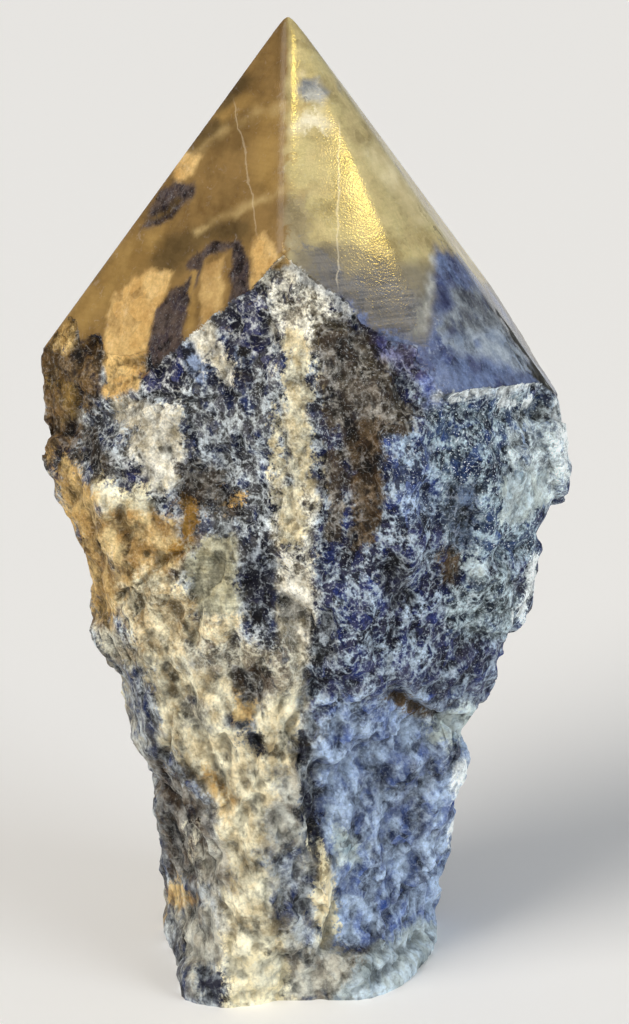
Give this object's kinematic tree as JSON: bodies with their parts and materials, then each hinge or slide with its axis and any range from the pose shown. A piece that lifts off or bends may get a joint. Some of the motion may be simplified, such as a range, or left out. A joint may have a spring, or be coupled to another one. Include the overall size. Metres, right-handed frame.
{
  "type": "rough sodalite with a polished point",
  "caption": "Standing piece of rough sodalite: a broken, narrowing block on a small flat foot, its top ground and polished to a faceted point.",
  "frame": {"origin": "on the flat foot, under the middle of the stone's box", "axes": "+Z from the foot up to the point, -Y towards the front, where the pale vein runs down the middle, +X to the right of someone looking at the front"},
  "size_m": [0.0808, 0.0536, 0.15],
  "materials": {
    "sodalite": "rough broken stone in blue, black and cream, with a polished tan and grey top"
  },
  "bodies": {
    "root": {"sodalite_point": "sodalite"}
  },
  "joints": []
}
